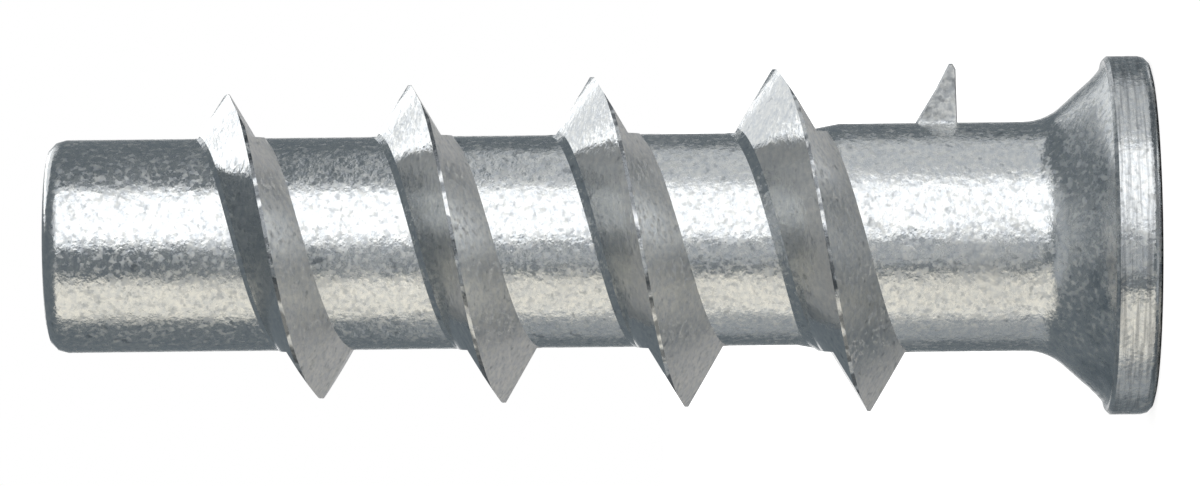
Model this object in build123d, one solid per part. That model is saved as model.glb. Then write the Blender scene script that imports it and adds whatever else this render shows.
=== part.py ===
from build123d import *
import os
from math import cos, pi, radians, sin

# A screw-in anchor for aerated concrete, one zinc die casting, in millimetres.
# The origin is the centre of the head's outer face, on which the anchor stands. +Z runs along
# the axis from the head to the tip, and +X points at the fin. The mould parts on the XZ plane,
# and its two halves open along Y.

# The core: a plain shank, with a shoulder behind the thread's last turn that leads to a
# thicker neck. Each pair is a height above the head's outer face and the radius there.
LENGTH = 60.0
NECK_RADIUS = 6.24
CORE_RADIUS = 5.79
CORE_PROFILE = ((6.9, NECK_RADIUS), (16.9, NECK_RADIUS), (19.3, CORE_RADIUS), (LENGTH, CORE_RADIUS))
TIP_ROUND = 1.05
CORNER_STEPS = 3

# The head: a flange that a hollow flare joins to the core
FLANGE_RADIUS = 9.76
FLANGE_THICKNESS = 2.5
FLANGE_OUTER_ROUND = 0.65
FLANGE_INNER_CHAMFER = 0.2
FLARE_MIDDLE = (7.72, 4.05)
FLARE_END_RADIUS = 9.3
FLARE_END_SLOPE = 1.6

# The drive socket and the screw's hole
SOCKET_ACROSS_FLATS = 8.4
SOCKET_DEPTH = 14.0
SOCKET_LEAD_IN = 0.4
SOCKET_FLOOR_CONE = 0.8
BORE_RADIUS = 3.4
BORE_TIP_CHAMFER = 0.45

# The thread: one right-hand ridge, whose crest stands higher towards the head. A flatter foot
# leads from the core up to its tip-side flank, and grows towards the head as well.
# Places along it are counted in turns from its first crest above the fin, towards the head.
PITCH = 9.93
FIRST_CREST_HEIGHT = 50.17
CREST_RADIUS = 8.25
CREST_RADIUS_GAIN = 0.335
CREST_LAND = 0.2
TIP_FLANK_SLOPE = 0.68
HEAD_FLANK_SLOPE = 0.69
FOOT_WIDTH = 2.2
FOOT_HEIGHT = 0.15
FOOT_GAIN = 0.055
FOOT_SLOPE = 1.6
RUN_IN = (-0.38, 0.04)
RUN_OUT = (3.53, 3.88)
ROOT_SINK = 0.5
RUN_HEIGHT = 0.12
STRETCHES = 9
STRETCH_STEPS = 8

# The relief: where the ridge crosses the parting plane, the mould cuts its flanks along Y,
# so that nothing is undercut. Crossings are counted in half turns from the first crest.
CROSSINGS = range(0, 8)
RELIEF_TIP_SLOPE = 0.60
RELIEF_HEAD_SLOPE = 0.58
RELIEF_REACH = 4.0
RELIEF_MARGIN = 0.3

# The fin: one thin barb that keeps the anchor from turning back
FIN_OUTLINE = (
    (5.8, 12.92),
    (6.4, 12.62),
    (8.0, 11.62),
    (9.45, 10.86),
    (9.45, 10.66),
    (9.15, 10.49),
    (5.8, 10.42),
)
FIN_HALF_THICKNESS = 0.55
FIN_DRAFT = 9.0


def core_radius(height):
    """The core's radius at a height above the head's outer face."""
    for (low, low_radius), (high, high_radius) in zip(CORE_PROFILE, CORE_PROFILE[1:]):
        if height <= high:
            break
    return low_radius + (high_radius - low_radius) * (height - low) / (high - low)


def corner_points(centre, radius, start):
    """Points round a quarter corner of the profile, so close together that its edge feels round."""
    angles = [start + 90.0 * step / CORNER_STEPS for step in range(CORNER_STEPS + 1)]
    return [
        (centre[0] + radius * cos(radians(angle)), centre[1] + radius * sin(radians(angle)))
        for angle in angles
    ]


def make_shank():
    """The core, the flare and the flange, turned from one profile."""
    rim_round_centre = (FLANGE_RADIUS - FLANGE_OUTER_ROUND, FLANGE_OUTER_ROUND)
    rim_top = (FLANGE_RADIUS, FLANGE_THICKNESS - FLANGE_INNER_CHAMFER)
    rim_edge = (FLANGE_RADIUS - FLANGE_INNER_CHAMFER, FLANGE_THICKNESS)
    flare_end = (FLARE_END_RADIUS, FLANGE_THICKNESS)
    core_points = [(radius, height) for height, radius in CORE_PROFILE[:-1]]
    tip_round_centre = (CORE_RADIUS - TIP_ROUND, LENGTH - TIP_ROUND)
    rim_corner = corner_points(rim_round_centre, FLANGE_OUTER_ROUND, -90.0)
    tip_corner = corner_points(tip_round_centre, TIP_ROUND, 0.0)
    with BuildPart() as shank:
        with BuildSketch(Plane.XZ):
            with BuildLine():
                Polyline((0, 0), *rim_corner, rim_top, rim_edge, flare_end)
                Spline(
                    flare_end,
                    FLARE_MIDDLE,
                    core_points[0],
                    tangents=[(-FLARE_END_SLOPE, 1), (0, 1)],
                )
                Polyline(*core_points, *tip_corner, (0, LENGTH), (0, 0))
            make_face()
        revolve(axis=Axis.Z)
    return shank.part


def ramp(value, limits):
    """A smooth rise from 0 to 1 between two limits."""
    low, high = limits
    share = min(1.0, max(0.0, (value - low) / (high - low)))
    return share * share * (3.0 - 2.0 * share)


def crest_height(turn):
    """The height of the crest's middle above the head's outer face."""
    return FIRST_CREST_HEIGHT - PITCH * turn


def crest_radius(turn):
    """The crest's full radius, which grows towards the head."""
    return CREST_RADIUS + CREST_RADIUS_GAIN * turn


def ridge_point(turn, radius, height):
    """A point of the ridge: a right-hand helix goes down the axis as it turns this way."""
    angle = 2.0 * pi * turn
    return Vector(radius * cos(angle), -radius * sin(angle), height)


def ridge_corners(turn):
    """The section's corners: foot, knee and crest on the tip side, crest and root on the other."""
    middle = crest_height(turn)
    root = core_radius(middle + FOOT_WIDTH) - ROOT_SINK
    full = crest_radius(turn) - root
    standing = ramp(turn, RUN_IN) * (1.0 - ramp(turn, RUN_OUT))
    rise = RUN_HEIGHT + (full - RUN_HEIGHT) * standing
    knee = rise * (ROOT_SINK + FOOT_HEIGHT + FOOT_GAIN * turn) / full
    half_land = CREST_LAND / 2.0
    knee_height = middle + half_land + (rise - knee) * TIP_FLANK_SLOPE
    return (
        ridge_point(turn, root, knee_height + knee * FOOT_SLOPE),
        ridge_point(turn, root + knee, knee_height),
        ridge_point(turn, root + rise, middle + half_land),
        ridge_point(turn, root + rise, middle - half_land),
        ridge_point(turn, root, middle - half_land - rise * HEAD_FLANK_SLOPE),
    )


def ridge_faces(start, end):
    """Ruled faces between the ridge's edge lines, over one stretch of its turns."""
    turns = [start + (end - start) * step / STRETCH_STEPS for step in range(STRETCH_STEPS + 1)]
    sections = [ridge_corners(turn) for turn in turns]
    edges = [Edge.make_spline(list(points)) for points in zip(*sections)]
    return [
        Face.make_surface_from_curves(edge, following)
        for edge, following in zip(edges, edges[1:] + edges[:1])
    ]


def make_plain_ridge():
    """The ridge as the helix makes it, built a stretch at a time, with two end caps."""
    start, end = RUN_IN[0], RUN_OUT[1]
    marks = [start + (end - start) * stretch / STRETCHES for stretch in range(STRETCHES + 1)]
    faces = []
    for low, high in zip(marks, marks[1:]):
        faces.extend(ridge_faces(low, high))
    for turn in (start, end):
        faces.append(Face(Wire.make_polygon(ridge_corners(turn), close=True)))
    return Solid(Shell(faces))


def relief_cutter(crossing, side, slope):
    """The wedge that relieves one flank at a crossing: the tip-side (1) or the head-side one (-1)."""
    turn = crossing / 2.0
    middle = crest_height(turn)
    crest = crest_radius(turn) + RELIEF_MARGIN
    root = min(core_radius(middle), core_radius(middle + side * FOOT_WIDTH))
    outer = middle + side * (CREST_LAND / 2.0 - RELIEF_MARGIN * slope)
    inner = outer + side * (crest - root) * slope
    far = middle + side * RELIEF_REACH
    facing = 1.0 if crossing % 2 == 0 else -1.0
    with BuildPart() as wedge:
        with BuildSketch(Plane.XZ):
            with BuildLine():
                Polyline(
                    (facing * crest, outer),
                    (facing * root, inner),
                    (facing * root, far),
                    (facing * crest, far),
                    close=True,
                )
            make_face()
        extrude(amount=FLANGE_RADIUS, both=True)
    return wedge.part


def make_ridge():
    """The thread's ridge, relieved at every crossing."""
    ridge = make_plain_ridge()
    for crossing in CROSSINGS:
        ridge = ridge - relief_cutter(crossing, 1.0, RELIEF_TIP_SLOPE)
        ridge = ridge - relief_cutter(crossing, -1.0, RELIEF_HEAD_SLOPE)
    return ridge


def make_fin():
    """The barb, thickest on the parting plane, with draft to both sides."""
    with BuildPart() as fin:
        with BuildSketch(Plane.XZ):
            with BuildLine():
                Polyline(*FIN_OUTLINE, close=True)
            make_face()
        extrude(amount=FIN_HALF_THICKNESS, both=True, taper=FIN_DRAFT)
    return fin.part


def make_hole():
    """The space inside: the drive socket, its floor's cone, and the screw's hole to the tip."""
    socket_radius = SOCKET_ACROSS_FLATS / 2.0
    lead_radius = socket_radius / cos(pi / 6.0) + SOCKET_LEAD_IN / 2.0
    with BuildPart() as hole:
        with BuildSketch(Plane.XY):
            RegularPolygon(socket_radius, 6, major_radius=False)
        extrude(amount=SOCKET_DEPTH)
        with BuildSketch(Plane.XZ):
            with BuildLine():
                Polyline(
                    (0, 0),
                    (lead_radius, 0),
                    (lead_radius - SOCKET_LEAD_IN, SOCKET_LEAD_IN),
                    (0, SOCKET_LEAD_IN),
                    close=True,
                )
            make_face()
        revolve(axis=Axis.Z)
        with BuildSketch(Plane.XZ):
            with BuildLine():
                Polyline(
                    (0, SOCKET_DEPTH),
                    (socket_radius, SOCKET_DEPTH),
                    (BORE_RADIUS, SOCKET_DEPTH + SOCKET_FLOOR_CONE),
                    (BORE_RADIUS, LENGTH - BORE_TIP_CHAMFER),
                    (BORE_RADIUS + BORE_TIP_CHAMFER, LENGTH),
                    (0, LENGTH),
                    close=True,
                )
            make_face()
        revolve(axis=Axis.Z)
    return hole.part


anchor_body = make_shank() + make_ridge() + make_fin() - make_hole()

os.makedirs("parts", exist_ok=True)
export_step(anchor_body, "parts/anchor_body.step")
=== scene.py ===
from math import cos, pi, radians, sin

import bpy
from mathutils import Matrix, Vector


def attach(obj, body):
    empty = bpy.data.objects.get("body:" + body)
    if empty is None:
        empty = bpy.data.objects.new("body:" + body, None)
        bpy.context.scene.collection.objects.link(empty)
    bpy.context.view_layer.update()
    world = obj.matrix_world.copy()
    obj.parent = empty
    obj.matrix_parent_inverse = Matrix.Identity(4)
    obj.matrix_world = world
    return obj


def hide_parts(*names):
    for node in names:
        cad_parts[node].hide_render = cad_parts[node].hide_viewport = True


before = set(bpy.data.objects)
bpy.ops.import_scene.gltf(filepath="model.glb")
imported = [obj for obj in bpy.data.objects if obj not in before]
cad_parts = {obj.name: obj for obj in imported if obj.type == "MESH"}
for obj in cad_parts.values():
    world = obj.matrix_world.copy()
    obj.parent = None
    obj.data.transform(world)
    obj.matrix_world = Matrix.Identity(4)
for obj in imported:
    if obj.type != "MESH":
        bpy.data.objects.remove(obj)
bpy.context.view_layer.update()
MM = 0.001

# The camera looks at the standing anchor from the side, through a long lens. It is turned so
# that the anchor lies along the picture, with its tip to the left and the fin on top.
LENS_MM = 210.0
SENSOR_MM = 36.0
CAMERA_DISTANCE = 381.3 * MM
CAMERA_HEIGHT = 29.96 * MM
CAMERA_OFFSET = -0.114 * MM
CAMERA_ROLL = radians(0.62)
NEAREST_SEEN = 10.0 * MM
FARTHEST_SEEN = 20.0

bpy.ops.object.camera_add(location=(CAMERA_OFFSET, -CAMERA_DISTANCE, CAMERA_HEIGHT))
camera = bpy.context.object
picture_right = Vector((-sin(CAMERA_ROLL), 0.0, -cos(CAMERA_ROLL)))
picture_up = Vector((cos(CAMERA_ROLL), 0.0, -sin(CAMERA_ROLL)))
towards_viewer = Vector((0.0, -1.0, 0.0))
turned = Matrix((picture_right, picture_up, towards_viewer)).transposed().to_4x4()
camera.matrix_world = Matrix.Translation(camera.location) @ turned
camera.data.lens = LENS_MM
camera.data.sensor_width = SENSOR_MM
camera.data.clip_start = NEAREST_SEEN
camera.data.clip_end = FARTHEST_SEEN
bpy.context.scene.camera = camera


# The casting: one piece of zinc alloy, pressed liquid into a steel mould and left bare. Its skin
# keeps the mottled, slightly wavy look of metal that froze against the mould. It is darker along
# the thread's crest, dull on the fin and lined on the rim, and the flare carries blue-grey painted
# shade in blotches, heaviest on the side away from the fin.
SKIN_DARK = (0.56, 0.58, 0.60, 1.0)
SKIN_LIGHT = (0.72, 0.72, 0.70, 1.0)
PIT_COLOUR = (0.30, 0.32, 0.34, 1.0)
CREST_COLOUR = (0.16, 0.17, 0.18, 1.0)
FIN_COLOUR = (0.30, 0.31, 0.32, 1.0)
RIM_LINE_COLOUR = (0.34, 0.35, 0.36, 1.0)
# The blue-grey painted shade on the flare
PAINTED_SHADE_COLOUR = (0.30, 0.34, 0.37, 1.0)

# The patterns of the skin: features to the metre, detail and roughness of each
WAVES = (950.0, 3.0, 0.6)
GRAIN = (3000.0, 3.0, 0.6)
PITS = (1700.0, 2.0, 0.5)
PATCHES = (210.0, 3.0, 0.6)
SPECKS = (3000.0, 2.0, 0.6)
CREST_DARKENING = (1100.0, 1.0, 0.5)
# The blotches of the painted shade on the flare
PAINTED_SHADE_BLOTCHES = (620.0, 4.0, 0.65)
RIM_LINES = (5200.0, 2.0, 0.6)
GRAIN_STRETCH = (1.0, 1.0, 1.15)
RIM_LINE_STRETCH = (0.05, 0.05, 1.0)
FLAT_PLAN = (1.0, 1.0, 0.0)
WAVE_DEPTH = 0.055 * MM
GRAIN_DEPTH = 0.018 * MM

# The part of its pattern's range that each finish uses, and its strength at the two ends
MOTTLE_RANGE = (0.35, 0.65)
PIT_RANGE = (0.64, 0.74)
PIT_STRENGTH = (0.0, 0.7)
CREST_DARKENING_RANGE = (0.46, 0.56)
CREST_DARKENING_STRENGTH = (0.95, 0.15)
FIN_GRAIN_RANGE = (0.38, 0.62)
FIN_GRAIN_STRENGTH = (0.45, 0.0)
RIM_LINE_RANGE = (0.44, 0.62)
RIM_LINE_STRENGTH = (0.0, 0.8)
# The painted shade on the flare: its range and strength, and its strength from side to side
PAINTED_SHADE_RANGE = (0.40, 0.62)
PAINTED_SHADE_STRENGTH = (0.0, 0.7)
PAINTED_SHADE_SIDE_STRENGTH = (1.0, 0.1)
PATCH_RANGE = (0.35, 0.65)
PATCH_ROUGHNESS = (0.18, 0.28)
SPECK_RANGE = (0.50, 0.66)
SPECK_ROUGHNESS = (0.0, 0.26)
FADING = (1.0, 0.0)

# Where each finish fades in or out, as a height above the head's face or a reach from the axis
CREST_REACH = (7.4 * MM, 7.9 * MM)
CREST_START = (11.5 * MM, 13.0 * MM)
FIN_REACH = (6.30 * MM, 6.55 * MM)
FIN_BELOW = (13.0 * MM, 13.3 * MM)
FIN_ABOVE = (9.0 * MM, 10.0 * MM)
RIM_REACH = (9.35 * MM, 9.50 * MM)
RIM_BELOW = (2.55 * MM, 2.75 * MM)
# How far up the flare the painted shade reaches, and how it fades towards the fin's side
PAINTED_SHADE_BELOW = (3.5 * MM, 4.6 * MM)
PAINTED_SHADE_SIDE = (-2.0 * MM, 5.0 * MM)
FLARE_BELOW = (6.0 * MM, 8.0 * MM)

# How far the surface has to slant: 0 is upright, 1 faces the tip and -1 faces the head
CREST_SLANT = (0.20, 0.30)
TIP_FLANK_SLANT = (0.35, 0.60)
HEAD_FLANK_SLANT = (-0.60, -0.35)
FLARE_SLANT = (0.45, 0.65)

# The share of the skin's roughness that each kind of surface gets, what the fin has on top of
# it, and the share of the waves that the flanks get
TIP_FLANK_SHARE = 0.5
HEAD_FLANK_SHARE = 0.6
FLARE_SHARE = 0.5
FIN_DULLNESS = 0.30
FLANK_WAVES = 0.5

# Where a colour mix node keeps its two colours and the colour that it makes of them
FIRST_COLOUR = 6
SECOND_COLOUR = 7
MIXED_COLOUR = 2


def add_node(tree, kind, **settings):
    """A new shader node with these settings."""
    node = tree.nodes.new(kind)
    for name, value in settings.items():
        setattr(node, name, value)
    return node


def feed(tree, socket, value):
    """Gives a socket a plain value, or links another node's output to it."""
    if isinstance(value, bpy.types.NodeSocket):
        tree.links.new(value, socket)
    else:
        socket.default_value = value


def noise(tree, coordinates, pattern):
    """A noise pattern on the given coordinates."""
    features, detail, roughness = pattern
    texture = add_node(tree, "ShaderNodeTexNoise")
    texture.inputs["Scale"].default_value = features
    texture.inputs["Detail"].default_value = detail
    texture.inputs["Roughness"].default_value = roughness
    tree.links.new(coordinates, texture.inputs["Vector"])
    return texture.outputs["Fac"]


def remap(tree, value, limits, results=(0.0, 1.0)):
    """The value brought from one pair of limits to another, and held inside it."""
    node = add_node(tree, "ShaderNodeMapRange", clamp=True)
    node.inputs["From Min"].default_value = limits[0]
    node.inputs["From Max"].default_value = limits[1]
    node.inputs["To Min"].default_value = results[0]
    node.inputs["To Max"].default_value = results[1]
    tree.links.new(value, node.inputs["Value"])
    return node.outputs["Result"]


def blend_colours(tree, factor, first, second):
    """A mix of two colours, each a plain colour or a socket."""
    node = add_node(tree, "ShaderNodeMix", data_type="RGBA")
    tree.links.new(factor, node.inputs["Factor"])
    feed(tree, node.inputs[FIRST_COLOUR], first)
    feed(tree, node.inputs[SECOND_COLOUR], second)
    return node.outputs[MIXED_COLOUR]


def combine(tree, operation, first, second):
    """Two values brought together, such as by MULTIPLY or ADD."""
    node = add_node(tree, "ShaderNodeMath", operation=operation)
    feed(tree, node.inputs[0], first)
    feed(tree, node.inputs[1], second)
    return node.outputs["Value"]


def scaled(tree, first, second):
    """The product of two values."""
    return combine(tree, "MULTIPLY", first, second)


def stretched(tree, coordinates, scale):
    """The coordinates with each axis scaled."""
    node = add_node(tree, "ShaderNodeMapping")
    node.inputs["Scale"].default_value = scale
    tree.links.new(coordinates, node.inputs["Vector"])
    return node.outputs["Vector"]


def parts_of(tree, vector):
    """The X, Y and Z of a vector."""
    node = add_node(tree, "ShaderNodeSeparateXYZ")
    tree.links.new(vector, node.inputs["Vector"])
    return node.outputs["X"], node.outputs["Y"], node.outputs["Z"]


def length_of(tree, vector):
    """The length of a vector."""
    node = add_node(tree, "ShaderNodeVectorMath", operation="LENGTH")
    tree.links.new(vector, node.inputs[0])
    return node.outputs["Value"]


def bump(tree, height, distance, strength, normal=None):
    """A bump from a height pattern, on top of another bump if there is one."""
    node = add_node(tree, "ShaderNodeBump")
    node.inputs["Distance"].default_value = distance
    tree.links.new(strength, node.inputs["Strength"])
    tree.links.new(height, node.inputs["Height"])
    if normal is not None:
        tree.links.new(normal, node.inputs["Normal"])
    return node.outputs["Normal"]


class CastSkin:
    """What the finishes read: where on the casting a point is, how it faces, and the grain."""

    def __init__(self, tree):
        coordinates = add_node(tree, "ShaderNodeTexCoord")
        self.place = coordinates.outputs["Object"]
        self.side, _, self.height = parts_of(tree, self.place)
        _, _, self.slant = parts_of(tree, coordinates.outputs["Normal"])
        steepness = add_node(tree, "ShaderNodeMath", operation="ABSOLUTE")
        tree.links.new(self.slant, steepness.inputs[0])
        self.steepness = steepness.outputs["Value"]
        self.reach = length_of(tree, stretched(tree, self.place, FLAT_PLAN))
        self.grain_place = stretched(tree, self.place, GRAIN_STRETCH)
        self.grain = noise(tree, self.grain_place, GRAIN)
        below_ridge = remap(tree, self.height, FIN_BELOW, FADING)
        above_flare = remap(tree, self.height, FIN_ABOVE)
        beyond_neck = remap(tree, self.reach, FIN_REACH)
        self.on_fin = scaled(tree, beyond_neck, scaled(tree, below_ridge, above_flare))
        on_flange = remap(tree, self.height, RIM_BELOW, FADING)
        self.on_rim = scaled(tree, on_flange, remap(tree, self.reach, RIM_REACH))
        self.above_head = remap(tree, self.height, CREST_START)


def plain_skin(tree, skin):
    """The mottled grey of the casting, with darker pits."""
    mottle = remap(tree, skin.grain, MOTTLE_RANGE)
    mottled = blend_colours(tree, mottle, SKIN_DARK, SKIN_LIGHT)
    pits = remap(tree, noise(tree, skin.grain_place, PITS), PIT_RANGE, PIT_STRENGTH)
    return blend_colours(tree, pits, mottled, PIT_COLOUR)


def darkened_crest(tree, skin, colour):
    """A dark line along the thread's crest, with bright specks in it."""
    # The crest's colour is made darker in a noisy pattern, which leaves bright specks
    darkening = remap(tree, noise(tree, skin.place, CREST_DARKENING), CREST_DARKENING_RANGE, CREST_DARKENING_STRENGTH)
    on_ridge = scaled(tree, remap(tree, skin.reach, CREST_REACH), skin.above_head)
    upright = remap(tree, skin.steepness, CREST_SLANT, FADING)
    crest = scaled(tree, on_ridge, scaled(tree, upright, darkening))
    return blend_colours(tree, crest, colour, CREST_COLOUR)


def dull_fin(tree, skin, colour):
    """Darker grain on the thin fin."""
    dark_grain = remap(tree, skin.grain, FIN_GRAIN_RANGE, FIN_GRAIN_STRENGTH)
    return blend_colours(tree, scaled(tree, skin.on_fin, dark_grain), colour, FIN_COLOUR)


def lined_rim(tree, skin, colour):
    """Fine darker lines that run round the rim."""
    pattern = noise(tree, stretched(tree, skin.place, RIM_LINE_STRETCH), RIM_LINES)
    lines = remap(tree, pattern, RIM_LINE_RANGE, RIM_LINE_STRENGTH)
    return blend_colours(tree, scaled(tree, skin.on_rim, lines), colour, RIM_LINE_COLOUR)


def painted_flare_shade(tree, skin, colour):
    """Blue-grey painted shade in blotches on the flare, most of it on the side away from the fin.
    """
    shade_blotches = remap(tree, noise(tree, skin.place, PAINTED_SHADE_BLOTCHES), PAINTED_SHADE_RANGE, PAINTED_SHADE_STRENGTH)
    low = remap(tree, skin.height, PAINTED_SHADE_BELOW, FADING)
    off_rim = combine(tree, "SUBTRACT", 1.0, skin.on_rim)
    far_half = remap(tree, skin.side, PAINTED_SHADE_SIDE, PAINTED_SHADE_SIDE_STRENGTH)
    shaded = scaled(tree, scaled(tree, off_rim, scaled(tree, low, shade_blotches)), far_half)
    return blend_colours(tree, shaded, colour, PAINTED_SHADE_COLOUR)


def skin_roughness(tree, skin):
    """Duller patches and specks, softer or sharper by the way the surface faces."""
    tip_flank = remap(tree, skin.slant, TIP_FLANK_SLANT, (1.0, TIP_FLANK_SHARE))
    head_flank = remap(tree, skin.slant, HEAD_FLANK_SLANT, (HEAD_FLANK_SHARE, 0.0))
    near_head = remap(tree, skin.height, FLARE_BELOW, (FLARE_SHARE, 0.0))
    flare = scaled(tree, near_head, remap(tree, skin.slant, FLARE_SLANT))
    share = combine(tree, "ADD", tip_flank, flare)
    share = combine(tree, "ADD", share, scaled(tree, head_flank, skin.above_head))
    patches = remap(tree, noise(tree, skin.place, PATCHES), PATCH_RANGE, PATCH_ROUGHNESS)
    specks = remap(tree, noise(tree, skin.place, SPECKS), SPECK_RANGE, SPECK_ROUGHNESS)
    roughness = scaled(tree, combine(tree, "ADD", patches, specks), share)
    return combine(tree, "ADD", roughness, scaled(tree, skin.on_fin, FIN_DULLNESS))


def skin_bumps(tree, skin):
    """Shallow waves and fine grain, weaker on the thread's flanks."""
    strength = remap(tree, skin.steepness, TIP_FLANK_SLANT, (1.0, FLANK_WAVES))
    waves = bump(tree, noise(tree, skin.grain_place, WAVES), WAVE_DEPTH, strength)
    return bump(tree, skin.grain, GRAIN_DEPTH, strength, waves)


def make_cast_zinc():
    """Bare die-cast zinc: bright metal with a mottled skin, fine pits and duller patches."""
    material = bpy.data.materials.new("cast_zinc_skin")
    material.use_nodes = True
    tree = material.node_tree
    shader = tree.nodes["Principled BSDF"]
    skin = CastSkin(tree)
    colour = plain_skin(tree, skin)
    for finish in (darkened_crest, dull_fin, lined_rim, painted_flare_shade):
        colour = finish(tree, skin, colour)
    shader.inputs["Metallic"].default_value = 1.0
    tree.links.new(colour, shader.inputs["Base Color"])
    tree.links.new(skin_roughness(tree, skin), shader.inputs["Roughness"])
    tree.links.new(skin_bumps(tree, skin), shader.inputs["Normal"])
    return material


# The casting's own sizes, which its true surface directions are worked out from. The core's
# pairs are a height above the head's face and the radius there. A flank's pair is the height
# that it climbs for each unit of radius, and the side that it faces.
CORE_PROFILE = ((6.9, 6.24), (16.9, 6.24), (19.3, 5.79), (60.0, 5.79))
ON_CORE = 0.012 * MM
ON_ROUND = 0.01 * MM
TIP_ROUND = 1.05 * MM
TIP_ROUND_CENTRE = (4.74 * MM, 58.95 * MM)
RIM_ROUND = 0.65 * MM
RIM_ROUND_CENTRE = (9.11 * MM, 0.65 * MM)
FLARE_LOW, FLARE_HIGH = 2.6 * MM, 6.8 * MM
SOCKET_RADIUS = 5.2 * MM
SOCKET_DEPTH = 14.0 * MM
FIN_FOOT = 6.25 * MM
FIN_LOW, FIN_HIGH = 10.4 * MM, 13.1 * MM
FIN_HALF_THICKNESS = 0.6 * MM
RIDGE_LOW, RIDGE_HIGH = 12.5 * MM, 54.5 * MM
RELIEF_LOW, RELIEF_HIGH = 8.0 * MM, 58.0 * MM
PITCH = 9.93 * MM
CREST_GAIN = 0.335 * MM
CREST_INNER = 6.3 * MM
CREST_LOW = 14.0 * MM
FLANK_SLOPES = ((0.68, 1.0), (0.69, -1.0), (1.6, 1.0))
FLANK_MATCH = cos(radians(7.0))

# What tells the faces apart: how much of a face's direction lies along the axis, or along Y
# for a relief cut's turn, or outwards for the crest
LEVEL = 0.999
NEARLY_LEVEL = 0.99
UPRIGHT = 0.01
RELIEF_TILT = 0.3
RELIEF_TURN = 0.002
CREST_OUTWARDS = 0.97


def core_radius(height):
    """The core's radius at a height above the head's outer face."""
    for (low, low_radius), (high, high_radius) in zip(CORE_PROFILE, CORE_PROFILE[1:]):
        if height <= high * MM:
            break
    share = (height / MM - low) / (high - low)
    return (low_radius + (high_radius - low_radius) * share) * MM


def around(place):
    """The outward and the sideways direction at a place round the axis."""
    outward = Vector((place.x, place.y, 0.0)).normalized()
    return outward, Vector((-outward.y, outward.x, 0.0))


def flank_direction(place, slope, side):
    """The direction in which a plain flank of the ridge faces: tip side (1) or head side (-1)."""
    outward, sideways = around(place)
    climb = (PITCH - side * slope * CREST_GAIN) / (2.0 * pi * place.xy.length)
    direction = outward * slope + sideways * (-side * climb) + Vector((0.0, 0.0, side))
    return direction.normalized()


def matching_flank(middle, facing):
    """The slope and side of the ridge's flank or foot that a face belongs to, if any."""
    if RIDGE_LOW < middle.z < RIDGE_HIGH:
        for slope, side in FLANK_SLOPES:
            if facing.dot(flank_direction(middle, slope, side)) > FLANK_MATCH:
                return slope, side
    return None


def turned_direction(place, facing, smooth):
    """The direction of a turned surface, whose facets only come near it."""
    outward, _ = around(place)
    point = Vector((place.xy.length, place.z))
    for centre, radius in ((TIP_ROUND_CENTRE, TIP_ROUND), (RIM_ROUND_CENTRE, RIM_ROUND)):
        offset = point - Vector(centre)
        if abs(offset.length - radius) < ON_ROUND and abs(facing.z) < NEARLY_LEVEL:
            return (outward * offset.x + Vector((0.0, 0.0, offset.y))).normalized()
    on_flare = FLARE_LOW < place.z < FLARE_HIGH
    rise = max(-1.0, min(1.0, smooth.z if on_flare else facing.z))
    across = (1.0 - rise * rise) ** 0.5
    if facing.dot(outward) < 0.0:
        across = -across
    return outward * across + Vector((0.0, 0.0, rise))


def is_flat(middle, facing):
    """True for the planes: end faces, socket sides, the fin and the mould's relief cuts."""
    if abs(facing.z) > LEVEL:
        return True
    in_socket = middle.xy.length < SOCKET_RADIUS and middle.z < SOCKET_DEPTH
    if in_socket and abs(facing.z) < UPRIGHT:
        return True
    if middle.x > FIN_FOOT and FIN_LOW < middle.z < FIN_HIGH:
        return abs(middle.y) < FIN_HALF_THICKNESS
    on_ridge = RELIEF_LOW < middle.z < RELIEF_HIGH and abs(facing.z) > RELIEF_TILT
    return on_ridge and abs(facing.y) < RELIEF_TURN


def is_core(places):
    """True for a face whose corners all lie on the core's outside."""
    return all(abs(place.xy.length - core_radius(place.z)) < ON_CORE for place in places)


def set_true_normals(mesh):
    """Gives every face corner the direction of the real surface there, not of its facet."""
    smooth = [Vector(corner.vector) for corner in mesh.corner_normals]
    directions = list(smooth)
    for face in mesh.polygons:
        middle, facing = face.center, face.normal
        places = [mesh.vertices[vertex].co for vertex in face.vertices]
        flat = is_flat(middle, facing)
        inside = middle.xy.length < SOCKET_RADIUS
        flank = None if inside else matching_flank(middle, facing)
        past_core = CREST_INNER < middle.xy.length and CREST_LOW < middle.z
        crest = past_core and facing.dot(around(middle)[0]) > CREST_OUTWARDS
        ridge = RIDGE_LOW - PITCH / 2.0 < middle.z < RIDGE_HIGH and not is_core(places)
        for loop, place in zip(face.loop_indices, places):
            if flat:
                directions[loop] = facing.copy()
            elif flank:
                directions[loop] = flank_direction(place, *flank)
            elif crest:
                directions[loop] = around(place)[0]
            elif inside or not ridge:
                directions[loop] = turned_direction(place, facing, smooth[loop])
    mesh.normals_split_custom_set(directions)


# The screw's thread: an 8 mm metric thread cut into the bore's wall, which runs out at both
# ends. Its profile's pairs are a share of the depth, and a share of the pitch up the wall.
BORE_RADIUS = 3.4 * MM
THREAD_PITCH = 1.25 * MM
THREAD_DEPTH = 0.55 * MM
THREAD_LOW, THREAD_HIGH = 14.8 * MM, 59.55 * MM
THREAD_TURNS = 38
THREAD_STEPS = 48
THREAD_PROFILE = ((0.0, 0.0), (0.0, 0.25), (1.0, 0.56), (1.0, 0.69), (0.0, 1.0))
SAME_POINT = 0.0005 * MM
HAIR = 0.002 * MM
END_REACH = 0.01 * MM
SMOOTH_ANGLE = radians(32.0)


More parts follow.
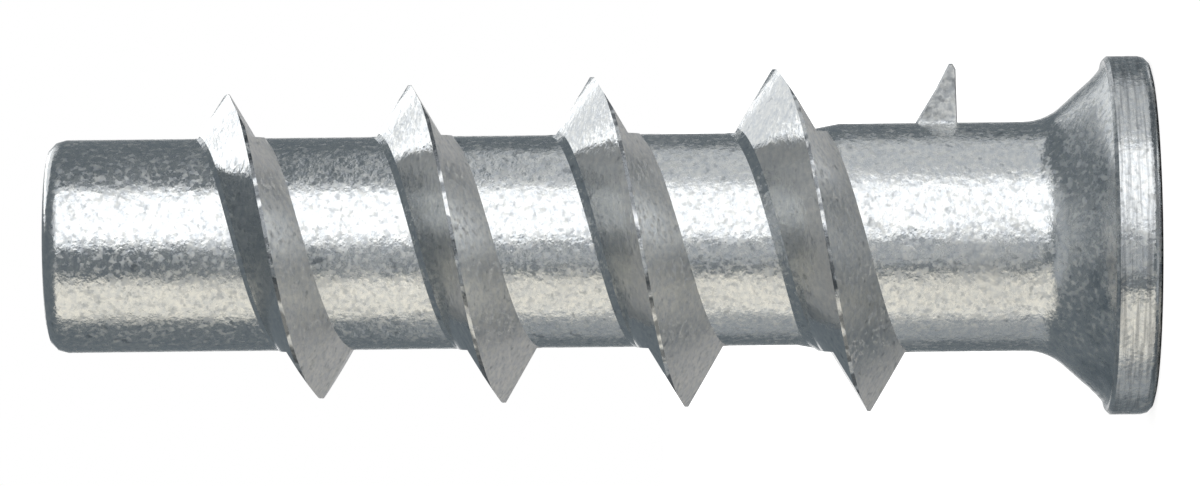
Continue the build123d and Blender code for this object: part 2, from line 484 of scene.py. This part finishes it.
def make_bore_thread():
    """The threaded wall: one pitch of the profile, screwed up the bore and trimmed at both ends."""
    points = [
        (BORE_RADIUS + depth * THREAD_DEPTH, 0.0, THREAD_LOW + (share - 1.0) * THREAD_PITCH)
        for depth, share in THREAD_PROFILE
    ]
    mesh = bpy.data.meshes.new("bore_thread")
    mesh.from_pydata(points, [(step, step + 1) for step in range(len(points) - 1)], [])
    thread = bpy.data.objects.new("bore_thread", mesh)
    bpy.context.scene.collection.objects.link(thread)
    bpy.ops.object.select_all(action="DESELECT")
    thread.select_set(True)
    bpy.context.view_layer.objects.active = thread
    screw = thread.modifiers.new("turns", "SCREW")
    screw.screw_offset = THREAD_PITCH
    screw.iterations = THREAD_TURNS
    screw.steps = THREAD_STEPS
    screw.render_steps = THREAD_STEPS
    screw.use_merge_vertices = True
    screw.merge_threshold = SAME_POINT
    bpy.ops.object.modifier_apply(modifier="turns")
    for vertex in thread.data.vertices:
        outward, _ = around(vertex.co)
        if not THREAD_LOW < vertex.co.z < THREAD_HIGH:
            end = min(max(vertex.co.z, THREAD_LOW), THREAD_HIGH)
            vertex.co = outward * BORE_RADIUS + Vector((0.0, 0.0, end))
    bpy.ops.object.mode_set(mode="EDIT")
    bpy.ops.mesh.select_all(action="SELECT")
    bpy.ops.mesh.remove_doubles(threshold=HAIR)
    bpy.ops.mesh.dissolve_degenerate(threshold=HAIR)
    bpy.ops.mesh.quads_convert_to_tris()
    bpy.ops.object.mode_set(mode="OBJECT")
    return thread


def close_thread_end(casting, height):
    """Joins the thread's end ring to the bore's edge, where their facets leave a hair's gap."""
    bpy.ops.object.mode_set(mode="EDIT")
    bpy.ops.mesh.select_mode(type="EDGE")
    bpy.ops.mesh.select_all(action="DESELECT")
    bpy.ops.mesh.select_non_manifold(
        use_wire=False,
        use_boundary=True,
        use_multi_face=False,
        use_non_contiguous=False,
        use_verts=False,
    )
    bpy.ops.object.mode_set(mode="OBJECT")
    for edge in casting.data.edges:
        heights = [casting.data.vertices[end].co.z for end in edge.vertices]
        edge.select = edge.select and all(abs(end - height) < END_REACH for end in heights)
    bpy.ops.object.mode_set(mode="EDIT")
    bpy.ops.mesh.bridge_edge_loops()
    bpy.ops.object.mode_set(mode="OBJECT")


bpy.ops.object.select_all(action="DESELECT")
cad_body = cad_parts["anchor_body"]
cad_body.select_set(True)
bpy.context.view_layer.objects.active = cad_body
bpy.ops.object.duplicate()
anchor = bpy.context.object
anchor.name = "anchor_casting"
bpy.ops.object.mode_set(mode="EDIT")
bpy.ops.mesh.select_all(action="SELECT")
bpy.ops.mesh.remove_doubles(threshold=SAME_POINT)
bpy.ops.mesh.select_all(action="DESELECT")
bpy.ops.object.mode_set(mode="OBJECT")
for face in anchor.data.polygons:
    reach = face.center.xy.length
    face.select = reach < BORE_RADIUS and THREAD_LOW < face.center.z < THREAD_HIGH
bpy.ops.object.mode_set(mode="EDIT")
bpy.ops.mesh.delete(type="FACE")
bpy.ops.object.mode_set(mode="OBJECT")
bore_thread = make_bore_thread()
bpy.ops.object.select_all(action="DESELECT")
bore_thread.select_set(True)
anchor.select_set(True)
bpy.context.view_layer.objects.active = anchor
bpy.ops.object.join()
close_thread_end(anchor, THREAD_LOW)
close_thread_end(anchor, THREAD_HIGH)
bpy.ops.mesh.customdata_custom_splitnormals_clear()
bpy.ops.object.shade_smooth_by_angle(angle=SMOOTH_ANGLE)
set_true_normals(anchor.data)
anchor.data.materials.clear()
anchor.data.materials.append(make_cast_zinc())
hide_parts("anchor_body")
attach(anchor, "root")


# The studio: a tall soft lamp on the fin's side of the camera, a weaker warm one on the other
# side, and two bright cards far above and behind. Bare metal shows all of these, so they are
# laid out as its bands of light and shade in the photograph ask.
WHITE = (1.0, 1.0, 1.0)
WARM = (1.0, 0.93, 0.80)
FACE_POWER = 4.0
ANCHOR_MIDDLE = (0.0, 0.0, CAMERA_HEIGHT)


def soft_lamp(name, place, target, size, level, colour):
    """An area lamp that faces a target. Level is the brightness of its face."""
    place, target = Vector(place), Vector(target)
    width, height = size
    bpy.ops.object.light_add(type="AREA", location=place)
    lamp = bpy.context.object
    lamp.name = name
    lamp.rotation_euler = (place - target).to_track_quat("Z", "Y").to_euler()
    lamp.data.shape = "RECTANGLE"
    lamp.data.size = width
    lamp.data.size_y = height
    lamp.data.energy = FACE_POWER * width * height * level
    lamp.data.color = colour
    lamp.visible_camera = False
    return lamp


def beside(azimuth, distance, height):
    """A place at this angle round the anchor, counted from the camera towards the fin's side."""
    return (distance * sin(azimuth), -distance * cos(azimuth), height)


# The two lamps: azimuth, size, level and colour of each
LAMP_DISTANCE = 0.60
LAMP_HEIGHT = 0.16
LAMPS = (
    ("tall_lamp", radians(31.5), (0.70, 0.62), 1.30, WHITE),
    ("warm_lamp", radians(-62.0), (0.55, 0.62), 0.72, WARM),
)
for name, azimuth, size, level, colour in LAMPS:
    lamp_place = beside(azimuth, LAMP_DISTANCE, LAMP_HEIGHT)
    soft_lamp(name, lamp_place, ANCHOR_MIDDLE, size, level, colour)

# The two far cards lean over the scene side by side: place sideways, width and level of each
FAR_CARD_BEHIND = 0.445
FAR_CARD_HEIGHT = 0.443
FAR_CARD_AIM = 0.002
FAR_CARD_LENGTH = 0.54
FAR_CARDS = (
    ("back_card", 0.148, 0.125, 1.22),
    ("side_card", 0.332, 0.240, 0.62),
)
for name, sideways, width, level in FAR_CARDS:
    card_place = (sideways, FAR_CARD_BEHIND, FAR_CARD_HEIGHT)
    card_target = (sideways, FAR_CARD_AIM, 0.0)
    soft_lamp(name, card_place, card_target, (width, FAR_CARD_LENGTH), level, WHITE)

# A small card hangs in front of the anchor, face down, and shows in the curve of the flare
NECK_CARD_PLACE = (0.0, -0.029, 0.045)
NECK_CARD_TARGET = (0.0, -0.029, 0.0)
NECK_CARD_SIZE = (0.070, 0.022)
NECK_CARD_LEVEL = 0.24
soft_lamp("neck_card", NECK_CARD_PLACE, NECK_CARD_TARGET, NECK_CARD_SIZE, NECK_CARD_LEVEL, WHITE)

# Three low cards stand round the head, and lift the dark bands on that half of the anchor:
# azimuth, width and level of each
LOW_CARD_DISTANCE = 0.11
LOW_CARD_HEIGHT = 0.042
LOW_CARD_MIDDLE = LOW_CARD_HEIGHT / 2.0
LOW_CARDS = (
    ("fin_side_card", radians(90.0 - 2.6), 0.110, 0.43),
    ("far_side_card", radians(-90.0 - 10.3), 0.090, 0.19),
    ("front_card", radians(-14.0), 0.035, 0.31),
)
for name, azimuth, width, level in LOW_CARDS:
    card_place = beside(azimuth, LOW_CARD_DISTANCE, LOW_CARD_MIDDLE)
    card_target = (0.0, 0.0, LOW_CARD_MIDDLE)
    soft_lamp(name, card_place, card_target, (width, LOW_CARD_HEIGHT), level, WHITE)

# The floor: a broad pale sheet under the anchor, matt, with a soft shadow. The camera sees it
# glow white, more so further out. In the metal it shows as a mirror at a low slant and close to
# the head, so that the bands of light run on to the rim.
FLOOR_SIZE = 6.0
FLOOR_PAINT = (0.86, 0.86, 0.86, 1.0)
FLOOR_SHEEN = (0.95, 0.95, 0.95, 1.0)
PURE_WHITE = (1.0, 1.0, 1.0, 1.0)
SLANT_BLEND = 0.5
POLISH_SLANT = (0.60, 0.85)
POLISH_REACH = (0.014, 0.022)
GLOW_REACH = (0.04, 0.30)
GLOW_SHARE = (0.55, 1.0)
FLOOR_WHITE = 1.50


def mix_shaders(tree, factor, first, second):
    """A mix of two shaders."""
    node = add_node(tree, "ShaderNodeMixShader")
    tree.links.new(factor, node.inputs["Fac"])
    tree.links.new(first, node.inputs[1])
    tree.links.new(second, node.inputs[2])
    return node.outputs["Shader"]


def make_pale_floor():
    """Matt paint that glows to the camera, and a mirror to the metal near it and at a slant."""
    material = bpy.data.materials.new("pale_floor")
    material.use_nodes = True
    tree = material.node_tree
    tree.nodes.clear()
    paint = add_node(tree, "ShaderNodeBsdfDiffuse")
    paint.inputs["Color"].default_value = FLOOR_PAINT
    glow = add_node(tree, "ShaderNodeEmission")
    glow.inputs["Color"].default_value = PURE_WHITE
    glow.inputs["Strength"].default_value = FLOOR_WHITE
    polish = add_node(tree, "ShaderNodeBsdfGlossy")
    polish.inputs["Color"].default_value = FLOOR_SHEEN
    polish.inputs["Roughness"].default_value = 0.0
    rays = add_node(tree, "ShaderNodeLightPath")
    place = add_node(tree, "ShaderNodeTexCoord").outputs["Object"]
    away = length_of(tree, place)
    glow_share = remap(tree, away, GLOW_REACH, GLOW_SHARE)
    seen_glow = scaled(tree, rays.outputs["Is Camera Ray"], glow_share)
    matt = mix_shaders(tree, seen_glow, paint.outputs["BSDF"], glow.outputs["Emission"])
    slant = add_node(tree, "ShaderNodeLayerWeight")
    slant.inputs["Blend"].default_value = SLANT_BLEND
    grazing = remap(tree, slant.outputs["Facing"], POLISH_SLANT)
    close = remap(tree, away, POLISH_REACH, FADING)
    shine = combine(tree, "MAXIMUM", grazing, close)
    mirrored_share = scaled(tree, rays.outputs["Is Glossy Ray"], shine)
    surface = mix_shaders(tree, mirrored_share, matt, polish.outputs["BSDF"])
    output = add_node(tree, "ShaderNodeOutputMaterial")
    tree.links.new(surface, output.inputs["Surface"])
    return material


bpy.ops.mesh.primitive_plane_add(size=FLOOR_SIZE, location=(0.0, 0.0, 0.0))
floor = bpy.context.object
floor.name = "floor"
floor.data.materials.append(make_pale_floor())

# The room: white to the camera, with a white backdrop behind the anchor and grey walls elsewhere
# in what the metal mirrors, and an even pale light on the floor.
BACKDROP_EDGE = (0.955, 0.985)
WALL_COLOUR = (0.170, 0.198, 0.218, 1.0)
FILL_COLOUR = (0.36, 0.36, 0.36, 1.0)

world = bpy.data.worlds.new("studio")
bpy.context.scene.world = world
world.use_nodes = True
world_tree = world.node_tree
world_tree.nodes.clear()


def room_light(colour):
    """A plain background of this colour."""
    node = add_node(world_tree, "ShaderNodeBackground")
    node.inputs["Color"].default_value = colour
    return node.outputs["Background"]


backdrop = room_light(PURE_WHITE)
walls = room_light(WALL_COLOUR)
fill = room_light(FILL_COLOUR)
world_rays = add_node(world_tree, "ShaderNodeLightPath")
is_glossy = world_rays.outputs["Is Glossy Ray"]
is_passing = world_rays.outputs["Is Transmission Ray"]
mirrored = combine(world_tree, "MAXIMUM", is_glossy, is_passing)
heading = add_node(world_tree, "ShaderNodeTexCoord").outputs["Generated"]
_, backwards, _ = parts_of(world_tree, heading)
behind = remap(world_tree, backwards, BACKDROP_EDGE)
seen_in_metal = mix_shaders(world_tree, behind, walls, backdrop)
room = mix_shaders(world_tree, mirrored, fill, seen_in_metal)
room = mix_shaders(world_tree, world_rays.outputs["Is Camera Ray"], room, backdrop)
world_output = add_node(world_tree, "ShaderNodeOutputWorld")
world_tree.links.new(room, world_output.inputs["Surface"])

bpy.context.scene.view_settings.view_transform = "Standard"
